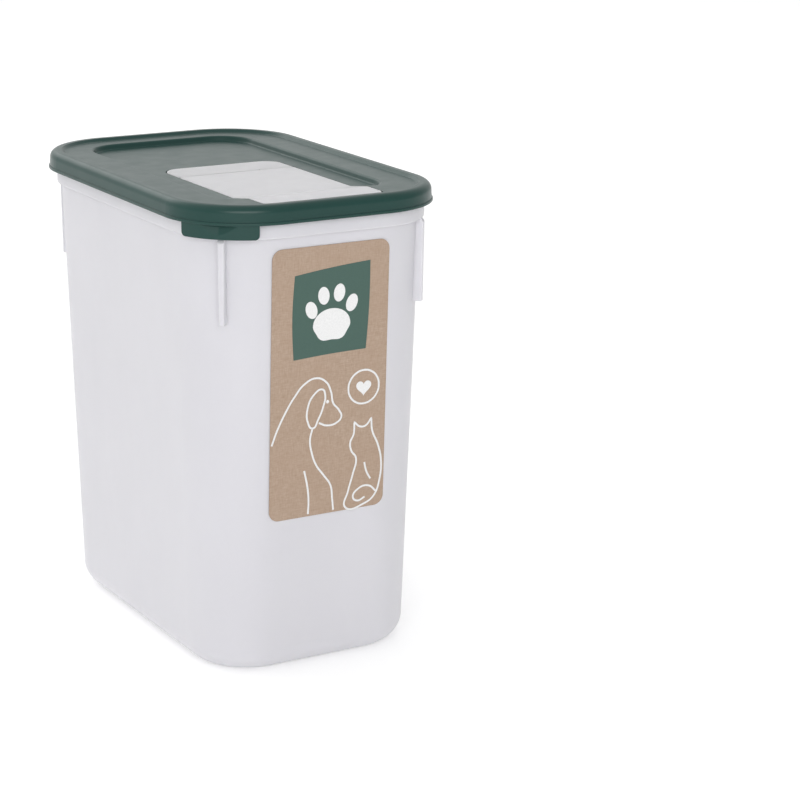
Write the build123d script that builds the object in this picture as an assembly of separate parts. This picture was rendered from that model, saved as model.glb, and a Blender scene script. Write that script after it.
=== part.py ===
"""Pet food bin: a tall translucent bin, a lid with a sunk tray, and a flip-up pouring flap.

Millimetres, +Z up. The origin is at the middle of the footprint, on the surface the bin stands on.
The label and the flap's free end face -Y. The flap's hinge runs along X.
"""

import os
from math import atan2, cos, degrees, radians, sin, sqrt

from build123d import *

# Lid: plan outline and levels
LID_WIDTH = 124.0
LID_DEPTH = 190.2
LID_CORNER = 37.1
SKIRT_BOTTOM = 201.2
CREST = 209.4
BORDER = 208.1
TRAY_FLOOR = 205.8
PLATE = 1.6
BORDER_UNDERSIDE = 206.6
SKIRT_WALL = 1.8

# Lid: bead, drafted face, round shoulder and the drop to the border
BEAD_HEIGHT = 1.3
BEAD_PROUD = 0.4
BEAD_ROUND = 0.36
SKIRT_DRAFT_DEG = 3.0
SHOULDER_RADIUS = 3.4
SKIRT_EDGE_ROUND = 0.3
RIM_WIDTH = 7.4
RIM_SLOPE_DEG = 50.0
RIM_EDGE_ROUND = 0.5
RIM_FOOT_ROUND = 0.8
GRIP_BEAD_REACH = 3.5
GRIP_BEAD_HEIGHT = 1.2

# Lid: sunk tray, whose front end ramps up to the border
TRAY_HALF_WIDTH = 39.2
TRAY_BACK = 77.3
TRAY_CORNER = 16.0
TRAY_FRONT_CORNER = 15.0
TRAY_WALL_SLOPE_DEG = 26.0
TRAY_EDGE_ROUND = 1.4
TRAY_FOOT_ROUND = 0.8
TRAY_SHELL = 2.2
RAMP_START = -55.5
RAMP_END = -70.0
RAMP_ROUND = 9.0

# Lid: plug ring, which stands inside the bin's mouth
PLUG_OUTSET = 5.75
PLUG_WALL = 1.5
PLUG_BOTTOM = 197.2
PLUG_CHAMFER = 0.5

# Lid: lift tab below the front left corner, with a thumb scoop in its face
TAB_INNER_RADIUS = 33.5
TAB_OUTER_RADIUS = 36.6
TAB_FROM_DEG = 198.0
TAB_TO_DEG = 253.0
TAB_BOTTOM = 195.3
TAB_ROUND = 2.0
SCOOP_DEG = 226.0
SCOOP_HALF_ANGLE_DEG = 12.5
SCOOP_TOP = 201.0
SCOOP_APEX = 197.2
SCOOP_DEPTH = 1.4

# Lid: pocket for the flap insert, and the well that the flap's tongue swings in
POCKET_FLOOR = 204.2
POCKET_HALF_WIDTH = 28.9
POCKET_BACK = 17.7
POCKET_FRONT = -88.6
POCKET_CORNER = 8.8
WELL_HALF_WIDTH = 10.6
WELL_BACK = -1.3
WELL_FRONT = -7.6
WELL_FLOOR = 201.1
WELL_CORNER = 1.0

# Lid: pouring mouth, narrow at the hinge and wide at the front, with a short spout wall below
MOUTH_BACK_RADIUS = 17.8
MOUTH_BACK_CENTRE = -26.8
MOUTH_FRONT_RADIUS = 16.2
MOUTH_FRONT_CENTRE = -65.2
MOUTH_FRONT_OFFSET = 6.3
SPOUT_WALL = 1.4
SPOUT_BOTTOM = 199.6

# Flap insert: fixed strip, hinge and pouring flap
FLAP_TOP = 206.0
FLAP_THICKNESS = 1.5
FLAP_HALF_WIDTH = 28.4
FLAP_FRONT = -88.0
FLAP_CORNER = 8.2
FLAP_EDGE_ROUND = 0.35
STRIP_FRONT = -1.4
STRIP_BACK = 17.2
STRIP_EDGE_ROUND = 0.35
STRIP_CORNER = 8.3
HINGE_END_CORNER = 0.8
PEG_X = 18.0
PEG_Y = 8.0
PEG_RADIUS = 2.0
PEG_HEAD_RADIUS = 2.9
PEG_HEAD_HEIGHT = 1.1
PEG_HEAD_GAP = 0.1
PEG_HEAD_ROUND = 0.6
PEG_CLEARANCE = 0.2
HINGE_Y = -2.0
HINGE_Z = 205.75
WEB_LENGTH = 1.2
WEB_THICKNESS = 0.5
WEB_FROM = 11.5
WEB_TO = 28.0

# Flap: plug rib, pips and tongue
RIB_CLEARANCE = 0.5
RIB_WALL = 1.4
RIB_HEIGHT = 4.2
PIP_PITCH = 2.7
PIP_SIDE = 1.6
PIP_HEIGHT = 0.5
PIP_COLUMNS = 11
PIP_ROWS = 11
PIP_FIRST_Y = -14.3
TONGUE_HALF_WIDTH = 10.0
TONGUE_THICKNESS = 1.1
TONGUE_ROOT = (-7.3, 205.0)
TONGUE_TIP = (-2.2, 202.0)

# Bin: outline of the wall at the floor and at the collar
FLOOR_HALF_X = 51.7
FLOOR_HALF_Y = 82.3
FLOOR_CORNER = 28.8
COLLAR_HALF_X = 56.3
COLLAR_HALF_Y = 89.4
COLLAR_CORNER = 31.4
COLLAR_BOTTOM = 194.5
COLLAR_INSET = 3.7
COLLAR_FOOT_ROUND = 0.6
MOUTH_RIM = 206.2
MOUTH_RIM_ROUND = 0.4
WALL = 1.4
FLOOR_THICKNESS = 1.9
FLOOR_EDGE_RADIUS = 11.0
FOOT_RING_WIDTH = 7.0
FOOT_RECESS_DEPTH = 0.6
FOOT_RECESS_SLOPE_DEG = 30.0
FIN_BOTTOM = 158.3
FIN_THICKNESS = 2.9
FIN_DRAFT_DEG = 0.56
FIN_PROUD = 1.2
FIN_TURN_DEG = 46.5
FIN_EDGE_ROUND = 0.5

# Label on the front wall
LABEL_WIDTH = 56.0
LABEL_HEIGHT = 119.5
LABEL_CORNER = 4.5
LABEL_THICKNESS = 0.25
LABEL_CENTRE_Z = 129.75

# Construction: how far joined forms run into each other, how far a cutter runs past what it
# cuts, and how near a level or an end an edge must lie to be picked
OVERLAP = 0.4
OVERRUN = 1.0
LEVEL_TOLERANCE = 0.01
END_TOLERANCE = 1.0
TOP_CLEAR = 220.0

RAMP_RISE = BORDER - TRAY_FLOOR
CORNER_X = LID_WIDTH / 2 - LID_CORNER
CORNER_Y = LID_DEPTH / 2 - LID_CORNER


def lid_outline(inset):
    """The lid's plan outline, drawn in by inset on every side."""
    return RectangleRounded(LID_WIDTH - 2 * inset, LID_DEPTH - 2 * inset, LID_CORNER - inset)


def lid_prism(inset, low, high):
    """A straight block of the lid's outline from one level to another."""
    return Pos(0, 0, low) * extrude(lid_outline(inset), high - low)


def edges_at(shape, level):
    """The edges of shape that lie flat at a level."""
    return shape.edges().filter_by_position(Axis.Z, level - LEVEL_TOLERANCE, level + LEVEL_TOLERANCE)


def above_ramp(floor):
    """Everything above a floor that climbs the ramp near the front."""
    front = -LID_DEPTH / 2
    back = LID_DEPTH / 2
    raised = floor + RAMP_RISE
    floor_line = FilletPolyline(
        (back, floor), (RAMP_START, floor), (RAMP_END, raised), (front, raised), radius=RAMP_ROUND
    )
    closing = Polyline((front, raised), (front, TOP_CLEAR), (back, TOP_CLEAR), (back, floor))
    profile = Plane.YZ * make_face([*floor_line.edges(), *closing.edges()])
    return extrude(profile, LID_WIDTH / 2, both=True)


def plan_between(half_width, front, back, front_corner, back_corner):
    """A rectangle across the lid with its own corner rounding at each end."""
    outline = Pos(0, (front + back) / 2) * Rectangle(2 * half_width, back - front)
    if front_corner:
        outline = fillet(outline.vertices().group_by(Axis.Y)[0], front_corner)
    if back_corner:
        outline = fillet(outline.vertices().group_by(Axis.Y)[-1], back_corner)
    return outline


def tray_plan(grow, front_corner=0):
    """The tray's outline at its floor, grown on every side. It ends at the top of the ramp."""
    back_corner = TRAY_CORNER + grow
    return plan_between(
        TRAY_HALF_WIDTH + grow, RAMP_END - grow, TRAY_BACK + grow, front_corner, back_corner
    )


def pocket_plan(grow):
    """The outline of the pocket for the flap insert, grown on every side."""
    corner = POCKET_CORNER + grow
    return plan_between(POCKET_HALF_WIDTH + grow, POCKET_FRONT - grow, POCKET_BACK + grow, corner, corner)


def mouth_plan(grow):
    """The pouring mouth's outline, grown on every side."""
    back = Pos(0, MOUTH_BACK_CENTRE) * Circle(MOUTH_BACK_RADIUS + grow)
    left = Pos(-MOUTH_FRONT_OFFSET, MOUTH_FRONT_CENTRE) * Circle(MOUTH_FRONT_RADIUS + grow)
    right = Pos(MOUTH_FRONT_OFFSET, MOUTH_FRONT_CENTRE) * Circle(MOUTH_FRONT_RADIUS + grow)
    return make_hull([*back.edges(), *left.edges(), *right.edges()])


def lid_outer():
    """The lid's outer form before it is hollowed: drafted skirt, foot bead and raised rim."""
    face = extrude(lid_outline(BEAD_PROUD), CREST - SKIRT_BOTTOM, taper=SKIRT_DRAFT_DEG)
    face = Pos(0, 0, SKIRT_BOTTOM) * face - rim_dish()
    face = fillet(crest_ring(face).inner_wires()[0].edges(), RIM_EDGE_ROUND)
    face = fillet(crest_ring(face).outer_wire().edges(), SHOULDER_RADIUS)
    bead = lid_prism(0, SKIRT_BOTTOM, SKIRT_BOTTOM + BEAD_HEIGHT)
    bead = fillet(edges_at(bead, SKIRT_BOTTOM + BEAD_HEIGHT), BEAD_ROUND)
    return face + fillet(edges_at(bead, SKIRT_BOTTOM), SKIRT_EDGE_ROUND)


def crest_ring(shape):
    """The flat ring on top of the raised rim."""
    return shape.faces().sort_by(Axis.Z)[-1]


def grip_bead():
    """The inward bead at the foot of the skirt."""
    outer = lid_prism(SKIRT_WALL - OVERLAP, SKIRT_BOTTOM, SKIRT_BOTTOM + GRIP_BEAD_HEIGHT)
    return outer - lid_prism(GRIP_BEAD_REACH, SKIRT_BOTTOM, SKIRT_BOTTOM + GRIP_BEAD_HEIGHT)


def rim_dish():
    """The drop from the lid's raised rim to its flat border."""
    dish = extrude(lid_outline(RIM_WIDTH), CREST + OVERRUN - BORDER, taper=-RIM_SLOPE_DEG)
    return Pos(0, 0, BORDER) * fillet(edges_at(dish, 0), RIM_FOOT_ROUND)


def tray_hollow():
    """The hollow of the sunk tray at its full depth, with sloping walls and a rounded foot."""
    depth = CREST + OVERRUN - TRAY_FLOOR
    walls = extrude(tray_plan(0, TRAY_FRONT_CORNER), depth, taper=-TRAY_WALL_SLOPE_DEG)
    return Pos(0, 0, TRAY_FLOOR) * fillet(edges_at(walls, 0), TRAY_FOOT_ROUND)


def tray_block(grow):
    """The block round the tray's outline, whose underside follows the ramp."""
    block = extrude(tray_plan(grow), BORDER - TRAY_FLOOR + PLATE)
    return Pos(0, 0, TRAY_FLOOR - PLATE) * block & above_ramp(TRAY_FLOOR - PLATE)


def tray_ramp():
    """The ramp at the tray's front end, a little wider than the tray so that it meets its walls."""
    length = RAMP_START - RAMP_END + RAMP_ROUND
    height = TOP_CLEAR - TRAY_FLOOR
    towards_front = (Align.CENTER, Align.MAX, Align.CENTER)
    front = Pos(0, RAMP_START + OVERRUN, TRAY_FLOOR) * Box(LID_WIDTH, length, height, align=towards_front)
    return (tray_block(2 * TRAY_EDGE_ROUND) & front) - above_ramp(TRAY_FLOOR)


def sink_tray(lid):
    """The lid with its tray sunk in it, the tray's edge rounded, and the ramp put in."""
    lid = lid + tray_block(TRAY_SHELL) - tray_hollow()
    front = RAMP_END - TRAY_SHELL
    back = TRAY_BACK + TRAY_SHELL
    edge = edges_at(lid, BORDER).filter_by(lambda e: abs(e.center().X) < TRAY_HALF_WIDTH + TRAY_SHELL)
    edge = edge.filter_by(lambda e: front < e.center().Y < back)
    return fillet(edge, TRAY_EDGE_ROUND) + tray_ramp()


def pocket_hollow():
    """The hollow that the fixed strip and the flap lie in."""
    column = Pos(0, 0, POCKET_FLOOR) * extrude(pocket_plan(0), CREST + OVERRUN - POCKET_FLOOR)
    return column & above_ramp(POCKET_FLOOR)


def pocket_shell():
    """The plate under the pocket, with the spout wall round the mouth and the tongue's well."""
    height = BORDER - SPOUT_BOTTOM
    column = Pos(0, 0, SPOUT_BOTTOM) * extrude(pocket_plan(PLATE), height)
    column -= above_ramp(POCKET_FLOOR + OVERLAP)
    spout = Pos(0, 0, SPOUT_BOTTOM) * extrude(mouth_plan(SPOUT_WALL), height)
    well_plan = plan_between(WELL_HALF_WIDTH + PLATE, WELL_FRONT - PLATE, WELL_BACK + PLATE, 0, WELL_CORNER)
    well = Pos(0, 0, WELL_FLOOR - PLATE) * extrude(well_plan, POCKET_FLOOR - WELL_FLOOR + PLATE)
    plate = column & above_ramp(POCKET_FLOOR - PLATE)
    return (plate + spout + well) & lid_prism(PLUG_OUTSET, PLUG_BOTTOM, CREST)


def well_hollow():
    """The closed well that the flap's tongue swings in."""
    plan = plan_between(WELL_HALF_WIDTH, WELL_FRONT, WELL_BACK, 0, 0)
    return Pos(0, 0, WELL_FLOOR) * extrude(plan, POCKET_FLOOR - WELL_FLOOR + OVERRUN)


def plug_ring():
    """The ring under the lid that stands inside the bin's mouth."""
    ring = lid_prism(PLUG_OUTSET, PLUG_BOTTOM, BORDER_UNDERSIDE + OVERLAP)
    ring = chamfer(edges_at(ring, PLUG_BOTTOM), PLUG_CHAMFER)
    return ring - lid_prism(PLUG_OUTSET + PLUG_WALL, PLUG_BOTTOM - OVERRUN, BORDER_UNDERSIDE + OVERRUN)


def scoop():
    """The shallow V-shaped thumb scoop in the tab: deepest at its top, a point at the bottom."""
    centre = TAB_OUTER_RADIUS + SCOOP_DEPTH
    reach = 2 * SCOOP_DEPTH
    side_depth = TAB_OUTER_RADIUS * (cos(radians(SCOOP_HALF_ANGLE_DEG)) - 1) + SCOOP_DEPTH
    half_width = TAB_OUTER_RADIUS * sin(radians(SCOOP_HALF_ANGLE_DEG)) * reach / side_depth
    corners = [(centre - reach, 0), (centre, -half_width), (centre + reach, 0), (centre, half_width)]
    facet_slope = degrees(atan2(SCOOP_DEPTH, SCOOP_TOP - SCOOP_APEX))
    spike = extrude(Polygon(*corners, align=None), SCOOP_TOP - SCOOP_APEX + OVERLAP, taper=facet_slope)
    return Pos(0, 0, SCOOP_TOP) * Rotation(180, 0, 0) * spike


def lift_tab():
    """The tab that hangs from the skirt at the front left corner."""
    start = radians(TAB_FROM_DEG)
    end = radians(TAB_TO_DEG)
    reach = 2 * LID_CORNER
    first = (reach * cos(start), reach * sin(start))
    last = (reach * cos(end), reach * sin(end))
    sector = make_face(Polyline((0, 0), first, last, (0, 0)))
    ring = Circle(TAB_OUTER_RADIUS) - Circle(TAB_INNER_RADIUS)
    tab = extrude(ring & sector, SKIRT_BOTTOM + OVERLAP - TAB_BOTTOM)
    low_ends = edges_at(tab, 0).filter_by(GeomType.LINE)
    tab = Pos(0, 0, TAB_BOTTOM) * fillet(low_ends, TAB_ROUND)
    tab -= Rotation(0, 0, SCOOP_DEG) * scoop()
    return Pos(-CORNER_X, -CORNER_Y, 0) * tab


def make_lid():
    """The lid: skirt, rim, border, tray, pocket, pouring mouth, plug ring and lift tab."""
    lid = sink_tray(lid_outer() - lid_prism(SKIRT_WALL, SKIRT_BOTTOM - OVERRUN, BORDER_UNDERSIDE))
    lid += grip_bead()
    lid += pocket_shell()
    lid += plug_ring()
    lid -= pocket_hollow()
    lid -= well_hollow()
    lid -= Pos(0, 0, SPOUT_BOTTOM - OVERRUN) * extrude(mouth_plan(0), CREST - SPOUT_BOTTOM)
    lid += lift_tab()
    for side in (-1, 1):
        lid -= Pos(side * PEG_X, PEG_Y, POCKET_FLOOR) * Cylinder(PEG_RADIUS + PEG_CLEARANCE, 4 * PLATE)
    return lid


def make_flap_base():
    """The fixed strip behind the hinge, with two staked pegs through the lid."""
    plan = plan_between(FLAP_HALF_WIDTH, STRIP_FRONT, STRIP_BACK, HINGE_END_CORNER, STRIP_CORNER)
    strip = Pos(0, 0, POCKET_FLOOR) * extrude(plan, FLAP_TOP - POCKET_FLOOR)
    strip = fillet(edges_at(strip, FLAP_TOP), STRIP_EDGE_ROUND)
    foot_level = POCKET_FLOOR - PLATE - PEG_HEAD_HEIGHT
    upward = (Align.CENTER, Align.CENTER, Align.MIN)
    for side in (-1, 1):
        foot = Pos(side * PEG_X, PEG_Y, foot_level)
        strip += foot * Cylinder(PEG_RADIUS, POCKET_FLOOR - foot_level, align=upward)
        head = foot * Cylinder(PEG_HEAD_RADIUS, PEG_HEAD_HEIGHT - PEG_HEAD_GAP, align=upward)
        strip += fillet(edges_at(head, foot_level), PEG_HEAD_ROUND)
    return strip


def make_living_hinge():
    """Two thin webs that join the fixed strip to the flap."""
    web = Box(WEB_TO - WEB_FROM, WEB_LENGTH, WEB_THICKNESS)
    middle = (WEB_TO + WEB_FROM) / 2
    return Compound([Pos(side * middle, HINGE_Y, HINGE_Z) * web for side in (-1, 1)])


def flap_plate():
    """The flap's plate: flat over the pocket, then up the ramp to its front end."""
    back = HINGE_Y - WEB_LENGTH / 2
    plan = plan_between(FLAP_HALF_WIDTH, FLAP_FRONT, back, FLAP_CORNER, HINGE_END_CORNER)
    column = Pos(0, 0, POCKET_FLOOR) * extrude(plan, CREST - POCKET_FLOOR)
    plate = column & above_ramp(FLAP_TOP - FLAP_THICKNESS) - above_ramp(FLAP_TOP)
    level_edges = plate.edges().filter_by(lambda e: abs(e.tangent_at(0.5).Z) < 0.5)
    sides = level_edges.filter_by(lambda e: abs(e.center().X) > FLAP_HALF_WIDTH - FLAP_CORNER)
    front_end = level_edges.filter_by(lambda e: e.center().Y < FLAP_FRONT + END_TOLERANCE)
    back_end = level_edges.filter_by(lambda e: e.center().Y > back - END_TOLERANCE)
    return fillet(ShapeList({*sides, *front_end, *back_end}), FLAP_EDGE_ROUND)


def plug_rib():
    """The closed rib under the flap that plugs the pouring mouth."""
    ring = mouth_plan(-RIB_CLEARANCE) - mouth_plan(-RIB_CLEARANCE - RIB_WALL)
    underside = FLAP_TOP - FLAP_THICKNESS
    wall = Pos(0, 0, underside - RIB_HEIGHT) * extrude(ring, CREST + RIB_HEIGHT - underside)
    return wall & above_ramp(underside - RIB_HEIGHT) - above_ramp(underside + FLAP_THICKNESS / 2)


def pip_limit(y):
    """Half the width of the pip field at y: it follows the round back end of the rib."""
    radius = MOUTH_BACK_RADIUS - RIB_CLEARANCE - RIB_WALL - PIP_SIDE
    beyond = max(0.0, y - MOUTH_BACK_CENTRE)
    return sqrt(radius**2 - beyond**2)


def pips():
    """The grid of small square pips inside the rib."""
    level = FLAP_TOP - FLAP_THICKNESS - PIP_HEIGHT / 2
    grid = []
    for row in range(PIP_ROWS):
        y = PIP_FIRST_Y - row * PIP_PITCH
        for column in range(PIP_COLUMNS):
            x = (column - (PIP_COLUMNS - 1) / 2) * PIP_PITCH
            if abs(x) < pip_limit(y):
                grid.append(Pos(x, y, level) * Box(PIP_SIDE, PIP_SIDE, PIP_HEIGHT))
    return grid


def tongue():
    """The slanting tongue under the flap's hinge end; it stands forward of the hinge when open."""
    root = Vector(0, *TONGUE_ROOT)
    tip = Vector(0, *TONGUE_TIP)
    across = Plane(origin=root, x_dir=(1, 0, 0), z_dir=tip - root)
    return extrude(across * Rectangle(2 * TONGUE_HALF_WIDTH, TONGUE_THICKNESS), (tip - root).length)


def make_pour_flap():
    """The pouring flap: plate, plug rib, pips and tongue."""
    return flap_plate() + plug_rib() + tongue() + pips()


def wall_section(level, inset):
    """The bin wall's plan outline at a height, drawn in by inset."""
    share = level / COLLAR_BOTTOM
    half_x = FLOOR_HALF_X + share * (COLLAR_HALF_X - FLOOR_HALF_X) - inset
    half_y = FLOOR_HALF_Y + share * (COLLAR_HALF_Y - FLOOR_HALF_Y) - inset
    corner = FLOOR_CORNER + share * (COLLAR_CORNER - FLOOR_CORNER) - inset
    return Pos(0, 0, level) * RectangleRounded(2 * half_x, 2 * half_y, corner)


def corner_fins():
    """Four tapering fins under the collar, one across each corner, standing just proud of it."""
    reach = LID_CORNER - COLLAR_INSET + FIN_PROUD
    top = COLLAR_BOTTOM + COLLAR_FOOT_ROUND
    outline = Rectangle(reach, FIN_THICKNESS, align=(Align.MIN, Align.CENTER))
    fin = Pos(0, 0, top) * extrude(outline, FIN_BOTTOM - top, taper=FIN_DRAFT_DEG)
    fin = chamfer(edges_at(fin, top).sort_by(Axis.X)[-1], FIN_PROUD + COLLAR_FOOT_ROUND, FIN_PROUD)
    tip = fin.faces().sort_by(Axis.X)[-1]
    fin = fillet(tip.edges().sort_by(Axis.Z)[:-1], FIN_EDGE_ROUND)
    fins = []
    for side_x in (-1, 1):
        for side_y in (-1, 1):
            turn = degrees(atan2(side_y * sin(radians(FIN_TURN_DEG)), side_x * cos(radians(FIN_TURN_DEG))))
            fins.append(Pos(side_x * CORNER_X, side_y * CORNER_Y, 0) * Rotation(0, 0, turn) * fin)
    return fins


def bin_inside():
    """The space inside the bin, up to the mouth."""
    sections = [wall_section(FLOOR_THICKNESS, WALL), wall_section(COLLAR_BOTTOM + 2 * WALL, WALL)]
    inner = fillet(edges_at(loft(sections, ruled=True), FLOOR_THICKNESS), FLOOR_EDGE_RADIUS - WALL)
    return inner + lid_prism(COLLAR_INSET + WALL, COLLAR_BOTTOM + WALL, MOUTH_RIM + OVERRUN)


def foot_recess():
    """The shallow panel under the floor that leaves a ring to stand on."""
    inset = FLOOR_EDGE_RADIUS + FOOT_RING_WIDTH
    return extrude(wall_section(0, inset), FOOT_RECESS_DEPTH, taper=FOOT_RECESS_SLOPE_DEG)


def make_bin_body():
    """The bin: drafted walls, rounded floor edge, collar, mouth rim and corner fins."""
    outer = loft([wall_section(0, 0), wall_section(COLLAR_BOTTOM + OVERRUN, 0)], ruled=True)
    outer = fillet(edges_at(outer, 0), FLOOR_EDGE_RADIUS)
    collar = lid_prism(COLLAR_INSET, COLLAR_BOTTOM, MOUTH_RIM)
    collar = fillet(edges_at(collar, MOUTH_RIM), MOUTH_RIM_ROUND)
    collar = fillet(edges_at(collar, COLLAR_BOTTOM), COLLAR_FOOT_ROUND)
    return outer + collar + corner_fins() - bin_inside() - foot_recess()


def make_label():
    """The printed label that lies flat on the front wall."""
    slope = (COLLAR_HALF_Y - FLOOR_HALF_Y) / COLLAR_BOTTOM
    wall_y = -FLOOR_HALF_Y - slope * LABEL_CENTRE_Z
    face = Plane(origin=(0, wall_y, LABEL_CENTRE_Z), x_dir=(1, 0, 0), z_dir=(0, -1, -slope))
    return extrude(face * RectangleRounded(LABEL_WIDTH, LABEL_HEIGHT, LABEL_CORNER), LABEL_THICKNESS)


NODES = {
    "bin_body": make_bin_body,
    "label": make_label,
    "lid": make_lid,
    "flap_base": make_flap_base,
    "living_hinge": make_living_hinge,
    "pour_flap": make_pour_flap,
}

os.makedirs("parts", exist_ok=True)
for node, make in NODES.items():
    export_step(make(), f"parts/{node}.step")
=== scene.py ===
"""The pet food bin's looks: plastics, the printed label, the living hinge's webs, and the studio."""

import math

import bmesh
import bpy
from mathutils import Matrix, Vector


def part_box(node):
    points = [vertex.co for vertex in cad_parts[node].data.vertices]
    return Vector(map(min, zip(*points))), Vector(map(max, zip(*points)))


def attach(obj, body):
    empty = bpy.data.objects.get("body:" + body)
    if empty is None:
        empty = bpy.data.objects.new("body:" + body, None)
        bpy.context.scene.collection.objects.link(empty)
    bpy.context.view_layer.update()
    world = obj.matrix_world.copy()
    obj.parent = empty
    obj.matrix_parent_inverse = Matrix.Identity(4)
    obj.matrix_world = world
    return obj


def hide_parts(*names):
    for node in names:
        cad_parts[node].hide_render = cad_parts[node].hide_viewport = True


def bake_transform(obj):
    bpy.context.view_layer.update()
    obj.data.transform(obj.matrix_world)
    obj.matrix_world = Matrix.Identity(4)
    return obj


MM = 0.001

# Plastics, paper and ink
GREEN_PLASTIC = ((0.0100, 0.0455, 0.0385), (0.0112, 0.0500, 0.0425))
GREEN_RUBBED = (0.034, 0.078, 0.068)
BODY_PLASTIC = (0.818, 0.811, 0.846)
FLAP_PLASTIC = (0.900, 0.893, 0.930)
KRAFT_THREADS = ((0.322, 0.227, 0.160), (0.458, 0.350, 0.272))
KRAFT_BLOTCH = (0.378, 0.270, 0.198)
KRAFT_FLECK = (0.235, 0.152, 0.098)
GREEN_INK = (0.056, 0.112, 0.092)
WHITE_INK = (0.80, 0.80, 0.80)
FLOOR_PAPER = ((0.90, 0.90, 0.90), (0.92, 0.92, 0.92))
PLASTIC_IOR = 1.49
PAPER_IOR = 1.45
FLOOR_IOR = 1.3

# Studio: the camera, in metres and radians
CAMERA_PLACE = (-0.4799, -0.9549, 0.4002)
CAMERA_YAW = 0.5357
CAMERA_DIP = 0.274
CAMERA_ROLL = 0.010
LENS_MM = 108.72
SENSOR_MM = 36
NEAREST_SEEN = 0.01

# Studio: the floor and the light all round, which grows with height and dims towards DIM_SIDE
FLOOR_HALF = 9.0
FLOOR_GLOW = 0.25
HORIZON = 0.92
OVERHEAD = 1.2
GROWS_FROM, GROWS_TO = 0.25, 0.8
DIM_SIDE = (0.25, -1.0, 0)
DIM_SHARE = 0.5
DIMS_FROM, DIMS_TO = -0.9, 0.6

# Studio: the lamps' places, sizes and power
LAMP_TARGET = (0, 0, 0.12)
LAMPS = [
    ("key", (-0.9, -1.8, 1.0), (1.6, 0.7), 19.0),
    ("back", (-0.3, 1.9, 1.3), (1.6, 0.9), 5.0),
]

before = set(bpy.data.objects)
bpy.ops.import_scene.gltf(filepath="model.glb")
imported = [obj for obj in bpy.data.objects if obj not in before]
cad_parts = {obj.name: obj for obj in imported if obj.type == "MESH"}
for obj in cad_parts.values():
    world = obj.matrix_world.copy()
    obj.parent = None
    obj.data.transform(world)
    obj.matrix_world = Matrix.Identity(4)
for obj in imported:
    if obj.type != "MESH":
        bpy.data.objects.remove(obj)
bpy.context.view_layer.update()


# ---------------------------------------------------------------- node helpers


def new_material(name, roughness, ior=PLASTIC_IOR):
    """A material with its Principled node, ready for textures."""
    material = bpy.data.materials.new(name)
    material.use_nodes = True
    shader = material.node_tree.nodes["Principled BSDF"]
    shader.inputs["Roughness"].default_value = roughness
    shader.inputs["IOR"].default_value = ior
    return material, material.node_tree, shader


def add_node(tree, kind, inputs=None, **settings):
    """A node with its settings and inputs. An input given a socket is linked to it."""
    node = tree.nodes.new(kind)
    for name, value in settings.items():
        setattr(node, name, value)
    for name, value in (inputs or {}).items():
        if isinstance(value, bpy.types.NodeSocket):
            tree.links.new(value, node.inputs[name])
        else:
            node.inputs[name].default_value = value
    return node


def object_coordinates(tree, stretch=(1, 1, 1)):
    """Places on the object's own surface, in metres, stretched along each axis."""
    coordinates = add_node(tree, "ShaderNodeTexCoord").outputs["Object"]
    mapping = add_node(tree, "ShaderNodeMapping", {"Vector": coordinates, "Scale": stretch})
    return mapping.outputs["Vector"]


def noise(tree, size_mm, detail=3.0, stretch=(1, 1, 1), roughness=0.55):
    """Noise whose lumps are about size_mm across."""
    place = object_coordinates(tree, stretch)
    settings = {"Vector": place, "Scale": 1 / (size_mm * MM), "Detail": detail, "Roughness": roughness}
    return add_node(tree, "ShaderNodeTexNoise", settings).outputs["Fac"]


def remap(tree, value, low, high):
    """A noise value spread from low to high."""
    settings = {"Value": value, "From Min": 0.3, "From Max": 0.7, "To Min": low, "To Max": high}
    return add_node(tree, "ShaderNodeMapRange", settings).outputs["Result"]


def mix_colours(tree, share, first, second):
    """A colour between first and second. Each may be a colour or a socket."""
    node = add_node(tree, "ShaderNodeMix", data_type="RGBA")
    tree.links.new(share, node.inputs["Factor"])
    for socket, colour in ((node.inputs["A"], first), (node.inputs["B"], second)):
        if isinstance(colour, bpy.types.NodeSocket):
            tree.links.new(colour, socket)
        else:
            socket.default_value = (*colour, 1)
    return node.outputs["Result"]


def bump(tree, height, depth_mm, normal=None):
    """A bump of about depth_mm from a height between 0 and 1."""
    inputs = {"Height": height, "Distance": depth_mm * MM, "Strength": 1.0}
    if normal is not None:
        inputs["Normal"] = normal
    return add_node(tree, "ShaderNodeBump", inputs).outputs["Normal"]


# ---------------------------------------------------------------- materials


def green_plastic():
    """Dark green moulded polypropylene: satin, with a faint grain and fine rubbing marks."""
    material, tree, shader = new_material("green_polypropylene", 0.3)
    shader.inputs["Specular IOR Level"].default_value = 0.32
    tone = remap(tree, noise(tree, 38, detail=2), 0, 1)
    base = mix_colours(tree, tone, *GREEN_PLASTIC)
    rubbed = remap(tree, noise(tree, 1.6, detail=4, stretch=(1, 0.12, 1)), 0, 0.06)
    tree.links.new(mix_colours(tree, rubbed, base, GREEN_RUBBED), shader.inputs["Base Color"])
    roughness = remap(tree, noise(tree, 9, detail=5), 0.29, 0.34)
    tree.links.new(roughness, shader.inputs["Roughness"])
    grain = bump(tree, noise(tree, 0.5, detail=2), 0.003)
    flow = bump(tree, noise(tree, 60, detail=1), 0.015, grain)
    tree.links.new(flow, shader.inputs["Normal"])
    return material


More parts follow.
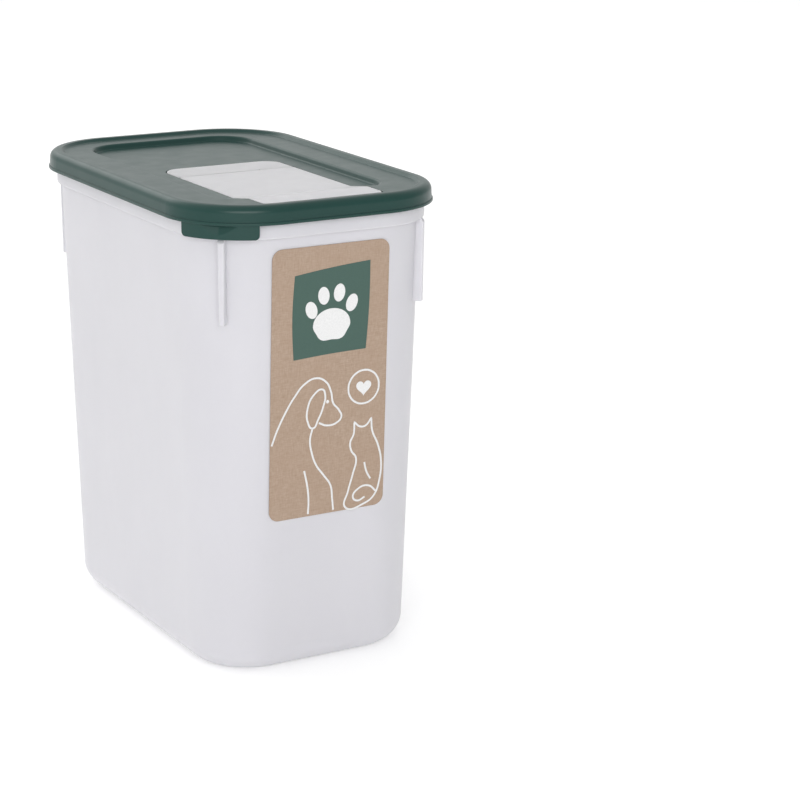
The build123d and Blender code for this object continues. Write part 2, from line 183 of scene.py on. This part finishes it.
def clear_plastic(name, base, glow_depth_mm, through, roughness):
    """Frosted polypropylene: light soaks into the wall and comes out on both sides."""
    material, tree, shader = new_material(name, roughness)
    shader.subsurface_method = "RANDOM_WALK"
    shader.inputs["Subsurface Weight"].default_value = 1.0
    shader.inputs["Subsurface Radius"].default_value = (1.0, 1.0, 1.0)
    shader.inputs["Subsurface Scale"].default_value = glow_depth_mm * MM
    shader.inputs["Transmission Weight"].default_value = through
    cloud = remap(tree, noise(tree, 30, detail=3, stretch=(1, 1, 0.5)), 0, 1)
    darker = tuple(0.975 * c for c in base)
    tree.links.new(mix_colours(tree, cloud, darker, base), shader.inputs["Base Color"])
    satin = remap(tree, noise(tree, 7, detail=5, stretch=(1, 1, 0.4)), roughness - 0.04, roughness + 0.06)
    tree.links.new(satin, shader.inputs["Roughness"])
    skin = bump(tree, noise(tree, 0.7, detail=2), 0.004)
    flow = bump(tree, noise(tree, 34, detail=1, stretch=(1, 1, 0.35)), 0.12, skin)
    tree.links.new(flow, shader.inputs["Normal"])
    return material


def kraft_paper():
    """Uncoated kraft label stock, printed with a fine woven ground."""
    material, tree, shader = new_material("kraft_paper", 0.75, PAPER_IOR)
    cross_threads = noise(tree, 0.42, detail=2, stretch=(0.16, 0.16, 1))
    up_threads = noise(tree, 0.42, detail=2, stretch=(1, 1, 0.16))
    weave = add_node(tree, "ShaderNodeMath", {0: cross_threads, 1: up_threads}, operation="ADD")
    halved = add_node(tree, "ShaderNodeMath", {0: weave.outputs[0], 1: 0.5}, operation="MULTIPLY")
    woven = halved.outputs[0]
    thread_tone = mix_colours(tree, remap(tree, woven, 0, 1), *KRAFT_THREADS)
    blotch = remap(tree, noise(tree, 14, detail=3), 0, 0.5)
    toned = mix_colours(tree, blotch, thread_tone, KRAFT_BLOTCH)
    fleck = remap(tree, noise(tree, 0.9, detail=5, roughness=0.8), -1.6, 0.55)
    tree.links.new(mix_colours(tree, fleck, toned, KRAFT_FLECK), shader.inputs["Base Color"])
    tree.links.new(bump(tree, woven, 0.05), shader.inputs["Normal"])
    return material


def printed_ink(name, colour, roughness):
    """Ink on the label: its ground shows through a little as a soft mottle."""
    material, tree, shader = new_material(name, roughness, PAPER_IOR)
    mottle = remap(tree, noise(tree, 0.45, detail=3), 0, 1)
    thinner = tuple(0.88 * c for c in colour)
    tree.links.new(mix_colours(tree, mottle, thinner, colour), shader.inputs["Base Color"])
    tree.links.new(bump(tree, noise(tree, 0.42, detail=2), 0.02), shader.inputs["Normal"])
    return material


def studio_floor():
    """Pale matt paper."""
    material, tree, shader = new_material("studio_floor", 0.9, FLOOR_IOR)
    tone = remap(tree, noise(tree, 300, detail=2), 0, 1)
    tree.links.new(mix_colours(tree, tone, *FLOOR_PAPER), shader.inputs["Base Color"])
    shader.inputs["Emission Color"].default_value = (1, 1, 1, 1)
    shader.inputs["Emission Strength"].default_value = FLOOR_GLOW
    return material


# ---------------------------------------------------------------- mesh helpers


def mesh_object(name, vertices, faces):
    """A flat-shaded mesh object at the origin, with its normals outwards."""
    mesh = bpy.data.meshes.new(name)
    mesh.from_pydata([tuple(v) for v in vertices], [], faces)
    work = bmesh.new()
    work.from_mesh(mesh)
    bmesh.ops.recalc_face_normals(work, faces=work.faces)
    work.to_mesh(mesh)
    work.free()
    piece = bpy.data.objects.new(name, mesh)
    bpy.context.scene.collection.objects.link(piece)
    return piece


def dress(piece, material, body):
    """Gives a finished piece its material and body."""
    piece.data.materials.clear()
    piece.data.materials.append(material)
    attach(piece, body)


# ---------------------------------------------------------------- the label's print

LABEL_LOW, LABEL_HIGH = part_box("label")
LABEL_PAPER = 0.25 * MM
PRINT_LIFT = 0.02 * MM
PRINT_THICKNESS = 0.05 * MM

# The drawings, in millimetres: to the right of the label's middle, and above the floor
LINE_WIDTH = 0.9
RING_CENTRE = (17.0, 125.0)
RING_RADIUS = 7.5
HEART_CENTRE = (17.0, 124.8)
HEART_WIDTH = 7.4
PAW_CENTRE = (0.6, 155.4)
PAW_SIZE = 8.4
TOE_HALF_WIDTH = 2.7
TOE_HALF_HEIGHT = 3.9
EYE_CENTRE = (-0.6, 120.6)
EYE_HALF_WIDTH = 0.7
EYE_HALF_HEIGHT = 0.8
PATCH_CORNERS = [(-17.3, 177.5), (18.8, 180.9), (17.5, 142.1), (-17.4, 140.9)]
PATCH_BOW = [0.35, 0.55, -0.3, 0.9]
TOES = [((-9.2, 161.9), 20), ((-3.4, 167.6), 7), ((4.1, 168.2), -7), ((10.2, 163.2), -20)]
DOG = [
    (-27.3, 104.4), (-24.6, 111.2), (-20.7, 118.6), (-16.6, 124.8), (-11.8, 129.9), (-6.2, 131.8),
    (-1.4, 129.4), (1.0, 124.8), (2.2, 119.6), (5.0, 116.2), (6.3, 113.0), (4.0, 110.6),
    (-0.8, 110.0), (-4.6, 111.6),
]
DOG_EAR = [
    (-3.2, 126.4), (-7.4, 124.4), (-10.2, 118.8), (-10.0, 112.6), (-7.6, 109.6), (-5.0, 113.2),
    (-2.6, 118.8), (-1.8, 123.8),
]
DOG_CHEST = [
    (-7.8, 109.2), (-8.8, 104.6), (-7.9, 98.8), (-5.6, 92.8), (-1.8, 87.6), (1.6, 82.6),
    (2.6, 76.4), (3.2, 71.0),
]
DOG_LEG = [(-11.4, 91.0), (-9.6, 83.0), (-9.0, 76.6), (-9.2, 71.0)]
CAT = [
    (9.2, 71.2), (10.4, 78.4), (12.6, 86.0), (14.0, 93.2), (11.6, 96.8), (11.0, 100.6),
    (12.6, 104.2), (12.8, 109.6), (15.8, 107.2), (18.4, 107.3), (21.2, 110.4), (21.8, 104.6),
    (24.8, 97.8), (26.6, 90.2), (26.0, 81.4), (23.4, 74.6), (18.6, 71.6),
]
CAT_EAR_TIPS = {(12.8, 109.6), (21.2, 110.4)}
CAT_TAIL = [(24.4, 76.4), (20.4, 79.6), (15.4, 78.8), (12.9, 75.4), (15.0, 73.4), (18.8, 74.6)]
CAT_LEG = [(18.2, 90.6), (19.4, 86.2), (21.4, 82.6)]


def on_label(x_mm, z_mm, lift):
    """A point on the label's face, x_mm to the right of its middle and z_mm above the floor."""
    height = LABEL_HIGH.z - LABEL_LOW.z
    lean = (LABEL_HIGH.y - LABEL_LOW.y - LABEL_PAPER) / height
    face_y = LABEL_HIGH.y - LABEL_PAPER - lean * (z_mm * MM - LABEL_LOW.z)
    return Vector((x_mm * MM, face_y - lift, z_mm * MM))


def printed_shape(name, outline):
    """A flat printed shape from its outline in millimetres on the label."""
    count = len(outline)
    front = [on_label(x, z, PRINT_LIFT + PRINT_THICKNESS) for x, z in outline]
    back = [on_label(x, z, PRINT_LIFT) for x, z in outline]
    sides = [(i, (i + 1) % count, count + (i + 1) % count, count + i) for i in range(count)]
    faces = [tuple(range(count)), tuple(range(2 * count - 1, count - 1, -1)), *sides]
    return mesh_object(name, front + back, faces)


def printed_line(name, points, closed=False, width=LINE_WIDTH):
    """A drawn line of even width through points on the label."""
    curve = bpy.data.curves.new(name, "CURVE")
    curve.dimensions = "3D"
    curve.resolution_u = 10
    curve.bevel_depth = width / 2 * MM
    curve.bevel_resolution = 2
    curve.use_fill_caps = True
    spline = curve.splines.new("BEZIER")
    spline.bezier_points.add(len(points) - 1)
    spline.use_cyclic_u = closed
    for knot, (x, z) in zip(spline.bezier_points, points):
        knot.co = (x * MM, z * MM, 0)
        bend = "VECTOR" if (x, z) in CAT_EAR_TIPS else "AUTO"
        knot.handle_left_type = bend
        knot.handle_right_type = bend
    rope = bpy.data.objects.new(name, curve)
    bpy.context.scene.collection.objects.link(rope)
    bpy.context.view_layer.update()
    mesh = bpy.data.meshes.new_from_object(rope.evaluated_get(bpy.context.evaluated_depsgraph_get()))
    bpy.data.objects.remove(rope)
    flatten = PRINT_THICKNESS / (width * MM)
    for vertex in mesh.vertices:
        lift = PRINT_LIFT + PRINT_THICKNESS / 2 + vertex.co.z * flatten
        vertex.co = on_label(vertex.co.x / MM, vertex.co.y / MM, lift)
    mesh.name = name
    piece = bpy.data.objects.new(name, mesh)
    bpy.context.scene.collection.objects.link(piece)
    return piece


def bowed_outline(corners, bow, steps=10):
    """Corners joined by sides that bow outwards a little, as if cut by hand."""
    outline = []
    for index, corner in enumerate(corners):
        start = Vector(corner)
        side = Vector(corners[(index + 1) % len(corners)]) - start
        outwards = Vector((-side.y, side.x)).normalized() * bow[index]
        for step in range(steps):
            share = step / steps
            outline.append(start + side * share + outwards * math.sin(math.pi * share))
    return outline


def ellipse(centre, half_width, half_height, lean_degrees, steps=28):
    """An ellipse that leans."""
    turn = Matrix.Rotation(math.radians(lean_degrees), 2)
    angles = [math.tau * step / steps for step in range(steps)]
    return [
        Vector(centre) + turn @ Vector((half_width * math.cos(a), half_height * math.sin(a)))
        for a in angles
    ]


def paw_pad(centre, size, steps=48):
    """The big pad of a paw print: round at the top, with three soft lobes at the bottom."""
    outline = []
    for step in range(steps):
        angle = math.tau * step / steps
        below = max(0.0, -math.sin(angle))
        reach = 1 - 0.10 * math.sin(angle) + 0.07 * below * math.cos(6 * angle)
        spoke = Vector((1.06 * math.cos(angle), 0.84 * math.sin(angle)))
        outline.append(Vector(centre) + size * reach * spoke)
    return outline


def heart(centre, size, steps=40):
    """A plain heart, size across."""
    outline = []
    for step in range(steps):
        t = math.tau * step / steps
        x = 16 * math.sin(t) ** 3
        y = 13 * math.cos(t) - 5 * math.cos(2 * t) - 2 * math.cos(3 * t) - math.cos(4 * t)
        outline.append(Vector(centre) + Vector((x, y)) * size / 32)
    return outline


def make_print():
    """The label's print: a hand-cut patch, a ring with a heart, and two line-drawn pets."""
    green = printed_ink("green_ink", GREEN_INK, 0.6)
    white = printed_ink("white_ink", WHITE_INK, 0.55)
    pieces = [(printed_shape("print_patch", bowed_outline(PATCH_CORNERS, PATCH_BOW)), green)]
    ring = ellipse(RING_CENTRE, RING_RADIUS, RING_RADIUS, 0, steps=12)
    lines = [
        ("print_ring", ring, True),
        ("print_dog", DOG, False),
        ("print_dog_ear", DOG_EAR, True),
        ("print_dog_chest", DOG_CHEST, False),
        ("print_dog_leg", DOG_LEG, False),
        ("print_cat", CAT, True),
        ("print_cat_tail", CAT_TAIL, False),
        ("print_cat_leg", CAT_LEG, False),
    ]
    for name, points, closed in lines:
        pieces.append((printed_line(name, points, closed), white))
    shapes = [
        ("print_heart", heart(HEART_CENTRE, HEART_WIDTH)),
        ("print_dog_eye", ellipse(EYE_CENTRE, EYE_HALF_WIDTH, EYE_HALF_HEIGHT, 0)),
    ]
    for name, outline in shapes:
        pieces.append((printed_shape(name, outline), white))
    return pieces, white


def make_paw(white):
    """The paw on the patch, one ink layer above it."""
    pads = [("print_paw_pad", paw_pad(PAW_CENTRE, PAW_SIZE))]
    for index, (centre, lean) in enumerate(TOES, 1):
        toe = ellipse(centre, TOE_HALF_WIDTH, TOE_HALF_HEIGHT, lean)
        pads.append((f"print_paw_toe_{index}", toe))
    pieces = []
    for name, outline in pads:
        piece = printed_shape(name, outline)
        for vertex in piece.data.vertices:
            vertex.co.y -= PRINT_THICKNESS
        pieces.append((piece, white))
    return pieces


# ---------------------------------------------------------------- the flexing webs

WEB_ROWS = 12
WEB_INNER_EDGE = 11.5 * MM
WEB_THINNING = 0.14 * MM


def make_webs():
    """The living hinge's two webs, each divided into rows along its length, in place of the hidden CAD
    hinge.
    """
    low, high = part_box("living_hinge")
    vertices = []
    faces = []
    for side in (-1, 1):
        base = len(vertices)
        for row in range(WEB_ROWS + 1):
            y = high.y + (low.y - high.y) * row / WEB_ROWS
            underside = low.z + WEB_THINNING * math.sin(math.pi * row / WEB_ROWS)
            section = [
                (WEB_INNER_EDGE, high.z), (high.x, high.z), (high.x, underside), (WEB_INNER_EDGE, underside),
            ]
            for x, z in section:
                vertices.append((side * x, y, z))
        for row in range(WEB_ROWS):
            start = base + 4 * row
            for corner in range(4):
                after = (corner + 1) % 4
                faces.append((start + corner, start + after, start + 4 + after, start + 4 + corner))
        faces.append(tuple(base + i for i in range(4)))
        faces.append(tuple(base + 4 * WEB_ROWS + i for i in range(4)))
    webs = mesh_object("hinge_webs", vertices, faces)
    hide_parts("living_hinge")
    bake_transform(webs)
    return webs


# ---------------------------------------------------------------- studio


def make_camera():
    """The camera, three quarters from the front left and a little above the lid."""
    ahead = Vector(
        (
            math.sin(CAMERA_YAW) * math.cos(CAMERA_DIP),
            math.cos(CAMERA_YAW) * math.cos(CAMERA_DIP),
            -math.sin(CAMERA_DIP),
        )
    )
    level = Vector((math.cos(CAMERA_YAW), -math.sin(CAMERA_YAW), 0))
    upright = level.cross(ahead)
    right = math.cos(CAMERA_ROLL) * level + math.sin(CAMERA_ROLL) * upright
    up = math.cos(CAMERA_ROLL) * upright - math.sin(CAMERA_ROLL) * level
    data = bpy.data.cameras.new("camera")
    data.sensor_width = SENSOR_MM
    data.lens = LENS_MM
    data.clip_start = NEAREST_SEEN
    camera = bpy.data.objects.new("camera", data)
    bpy.context.scene.collection.objects.link(camera)
    turn = Matrix((right, up, -ahead)).transposed().to_4x4()
    camera.matrix_world = Matrix.Translation(CAMERA_PLACE) @ turn
    bpy.context.scene.camera = camera


def make_area(name, place, target, size, power):
    """A soft rectangular lamp at place that faces target."""
    data = bpy.data.lights.new(name, "AREA")
    data.shape = "RECTANGLE"
    data.size, data.size_y = size
    data.energy = power
    lamp = bpy.data.objects.new(name, data)
    bpy.context.scene.collection.objects.link(lamp)
    aim = (Vector(target) - Vector(place)).to_track_quat("-Z", "Y")
    lamp.matrix_world = Matrix.Translation(place) @ aim.to_matrix().to_4x4()


def spread(tree, value, start, end, low, high):
    """A value spread smoothly from low to high as it goes from start to end."""
    settings = {"Value": value, "From Min": start, "From Max": end, "To Min": low, "To Max": high}
    node = add_node(tree, "ShaderNodeMapRange", settings, interpolation_type="SMOOTHSTEP")
    return node.outputs["Result"]


def make_world():
    """Light all round: brightest overhead, and dim towards the front."""
    world = bpy.data.worlds.new("studio")
    bpy.context.scene.world = world
    world.use_nodes = True
    tree = world.node_tree
    direction = add_node(tree, "ShaderNodeTexCoord").outputs["Generated"]
    parts = add_node(tree, "ShaderNodeSeparateXYZ", {"Vector": direction})
    rise = spread(tree, parts.outputs["Z"], GROWS_FROM, GROWS_TO, HORIZON, OVERHEAD)
    facing = add_node(tree, "ShaderNodeVectorMath", {0: direction, 1: DIM_SIDE}, operation="DOT_PRODUCT")
    across = spread(tree, facing.outputs["Value"], DIMS_FROM, DIMS_TO, 1.0, DIM_SHARE)
    level = add_node(tree, "ShaderNodeMath", {0: rise, 1: across}, operation="MULTIPLY").outputs[0]
    background = tree.nodes["Background"]
    background.inputs["Color"].default_value = (1.0, 1.0, 1.0, 1)
    tree.links.new(level, background.inputs["Strength"])


def make_floor():
    """A wide pale floor."""
    half = FLOOR_HALF
    corners = [(-half, -half, 0), (half, -half, 0), (half, half, 0), (-half, half, 0)]
    floor = mesh_object("studio_floor", corners, [(0, 1, 2, 3)])
    floor.data.materials.append(studio_floor())


def make_studio():
    """Camera, floor, light all round and two soft lamps."""
    make_camera()
    make_world()
    make_floor()
    for name, place, size, power in LAMPS:
        make_area(name, place, LAMP_TARGET, size, power)
    bpy.context.scene.view_settings.view_transform = "Standard"


# ---------------------------------------------------------------- the object

make_studio()

finishes = {
    "bin_body": clear_plastic("frosted_polypropylene", BODY_PLASTIC, 0.9, 0.28, 0.34),
    "label": kraft_paper(),
    "lid": green_plastic(),
    "flap_base": clear_plastic("flap_polypropylene", FLAP_PLASTIC, 2.0, 0.35, 0.36),
}
finishes["pour_flap"] = finishes["flap_base"]
for node_name, finish in finishes.items():
    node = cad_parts[node_name]
    for slot in node.material_slots:
        slot.material = finish

webs = make_webs()
webs.data.materials.append(finishes["flap_base"])

prints, white_ink = make_print()
for piece, ink in prints + make_paw(white_ink):
    dress(piece, ink, "bin")
